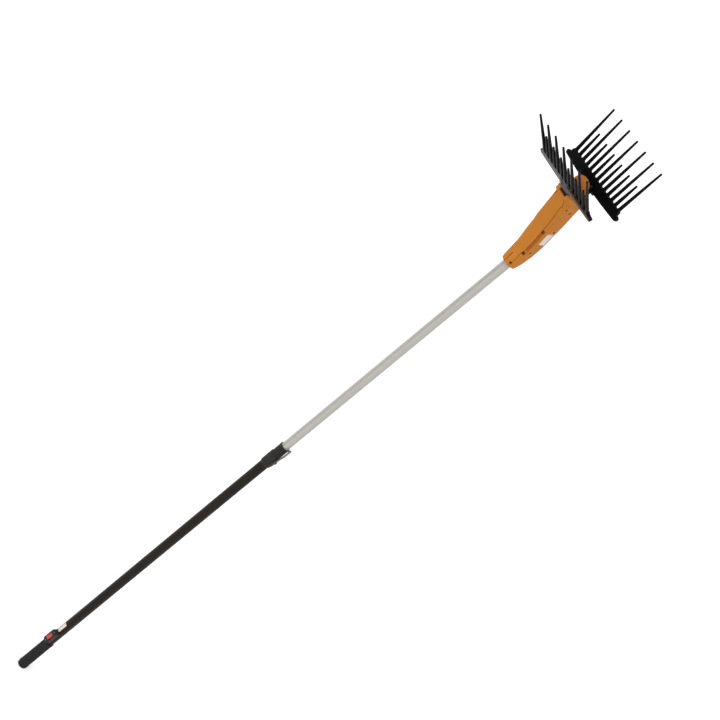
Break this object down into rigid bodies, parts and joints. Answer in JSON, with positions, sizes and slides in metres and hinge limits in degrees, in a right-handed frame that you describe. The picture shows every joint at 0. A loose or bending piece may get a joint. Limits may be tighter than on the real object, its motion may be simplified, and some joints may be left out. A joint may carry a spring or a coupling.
{
  "type": "electric olive harvester",
  "caption": "Telescopic pole with a powered head that swings two fanned combs of long and short tines to beat olives off a branch.",
  "frame": {"origin": "centre of the hand grip, on the pole's axis", "axes": "+Z along the pole towards the head, +X along the comb bars, -Y the side the head bends over to"},
  "size_m": [0.2764, 0.3215, 2.84],
  "materials": {
    "tube_black": "matt black anodised",
    "tube_silver": "satin anodised",
    "orange": "moulded, semi matt",
    "black_plastic": "moulded, semi matt",
    "comb_black": "moulded, satin",
    "bush_plastic": "moulded",
    "grip_rubber": "foam rubber",
    "switch_red": "gloss",
    "label_white": "blank printed film",
    "steel": "zinc plated",
    "black_steel": "black oxide",
    "cast_black": "die cast, painted black",
    "gear_steel": "sintered",
    "magnet": "plain",
    "cast_alloy": "die cast",
    "brass": "plain"
  },
  "bodies": {
    "handle": {"outer_tube": "tube_black", "end_cap": "black_plastic", "power_inlet": "black_plastic", "inlet_contacts": "brass", "hand_grip": "grip_rubber", "switch_box": "black_plastic", "switch_screws": "black_steel", "pole_label": "label_white", "clamp_collar": "black_plastic", "collar_bush": "bush_plastic", "clamp_shoe": "bush_plastic", "lever_pin": "black_steel", "collar_rivets": "black_steel"},
    "pole": {"inner_tube": "tube_silver", "guide_bush": "bush_plastic", "housing_rear": "orange", "housing_front": "orange", "nose_cover": "orange", "housing_screws": "black_steel", "neck_screw": "black_steel", "head_label": "label_white", "tube_locator": "black_plastic", "motor_can": "steel", "motor_end_bell": "black_plastic", "motor_magnets": "magnet", "motor_bearings": "steel", "ring_gear": "gear_steel", "gearbox_cover": "cast_alloy", "output_bearing": "steel", "motor_cradle": "black_plastic", "gearbox_bracket": "black_plastic", "side_plates": "steel", "plate_spacers": "steel", "rocker_bushes": "brass"},
    "rotor": {"rotor_shaft": "steel", "rotor_core": "magnet", "sun_pinion": "gear_steel"},
    "carrier": {"planet_carrier": "steel", "planet_pins": "steel", "crank_disc": "steel", "crank_bearing": "steel"},
    "planet_1": {"planet_gear_1": "gear_steel"},
    "planet_2": {"planet_gear_2": "gear_steel"},
    "planet_3": {"planet_gear_3": "gear_steel"},
    "comb_a": {"rocker_shaft_a": "steel", "rocker_arm_a": "cast_black", "link_pin_a": "steel", "comb_bar_a": "comb_black", "comb_tines_a": "comb_black", "comb_bolts_a": "black_steel"},
    "link": {"drive_link": "cast_alloy"},
    "comb_b": {"rocker_shaft_b": "steel", "rocker_arm_b": "cast_black", "link_pin_b": "steel", "comb_bar_b": "comb_black", "comb_tines_b": "comb_black", "comb_bolts_b": "black_steel"},
    "lever": {"clamp_lever": "steel"},
    "switch": {"switch_rocker": "switch_red"}
  },
  "joints": [
    {"name": "pole_slide", "type": "slide", "parent": "handle", "child": "pole", "axis": [0, 0, 1], "range_m": [-0.88, 0.08]},
    {"name": "lever_open", "type": "hinge", "parent": "handle", "child": "lever", "pos_m": [0.0222, 0, 1.236], "axis": [0, 1, 0], "range_deg": [0, 125]},
    {"name": "switch_rock", "type": "hinge", "parent": "handle", "child": "switch", "pos_m": [0, -0.0285, 0.1125], "axis": [1, 0, 0], "range_deg": [0, 16]},
    {"name": "crank_spin", "type": "hinge", "parent": "pole", "child": "carrier", "pos_m": [0, -0.03779, 2.43564], "axis": [0, -0.3007, 0.9537], "continuous": true},
    {"name": "rotor_spin", "type": "hinge", "parent": "pole", "child": "rotor", "pos_m": [0, -0.01975, 2.37842], "axis": [0, -0.3007, 0.9537], "continuous": true},
    {"name": "planet_1_spin", "type": "hinge", "parent": "carrier", "child": "planet_1", "pos_m": [0.012, -0.03178, 2.41657], "axis": [0, -0.3007, 0.9537], "continuous": true},
    {"name": "planet_2_spin", "type": "hinge", "parent": "carrier", "child": "planet_2", "pos_m": [-0.006, -0.02187, 2.41969], "axis": [0, -0.3007, 0.9537], "continuous": true},
    {"name": "planet_3_spin", "type": "hinge", "parent": "carrier", "child": "planet_3", "pos_m": [-0.006, -0.04169, 2.41344], "axis": [0, -0.3007, 0.9537], "continuous": true},
    {"name": "comb_b_swing", "type": "hinge", "parent": "pole", "child": "comb_b", "pos_m": [0, -0.04027, 2.51665], "axis": [1, 0, 0], "range_deg": [-26, 0]},
    {"name": "comb_a_swing", "type": "hinge", "parent": "pole", "child": "comb_a", "pos_m": [0, -0.08223, 2.50342], "axis": [1, 0, 0], "range_deg": [-26, 0]},
    {"name": "link_swing", "type": "hinge", "parent": "comb_b", "child": "link", "pos_m": [0, -0.02301, 2.48735], "axis": [1, 0, 0], "range_deg": [0, 26]}
  ],
  "couplings": [
    {"joint": "rotor_spin", "follows": "crank_spin", "ratio": 4},
    {"joint": "planet_1_spin", "follows": "crank_spin", "ratio": -3},
    {"joint": "planet_2_spin", "follows": "crank_spin", "ratio": -3},
    {"joint": "planet_3_spin", "follows": "crank_spin", "ratio": -3},
    {"joint": "comb_a_swing", "follows": "comb_b_swing", "ratio": 1},
    {"joint": "link_swing", "follows": "comb_b_swing", "ratio": -1}
  ]
}
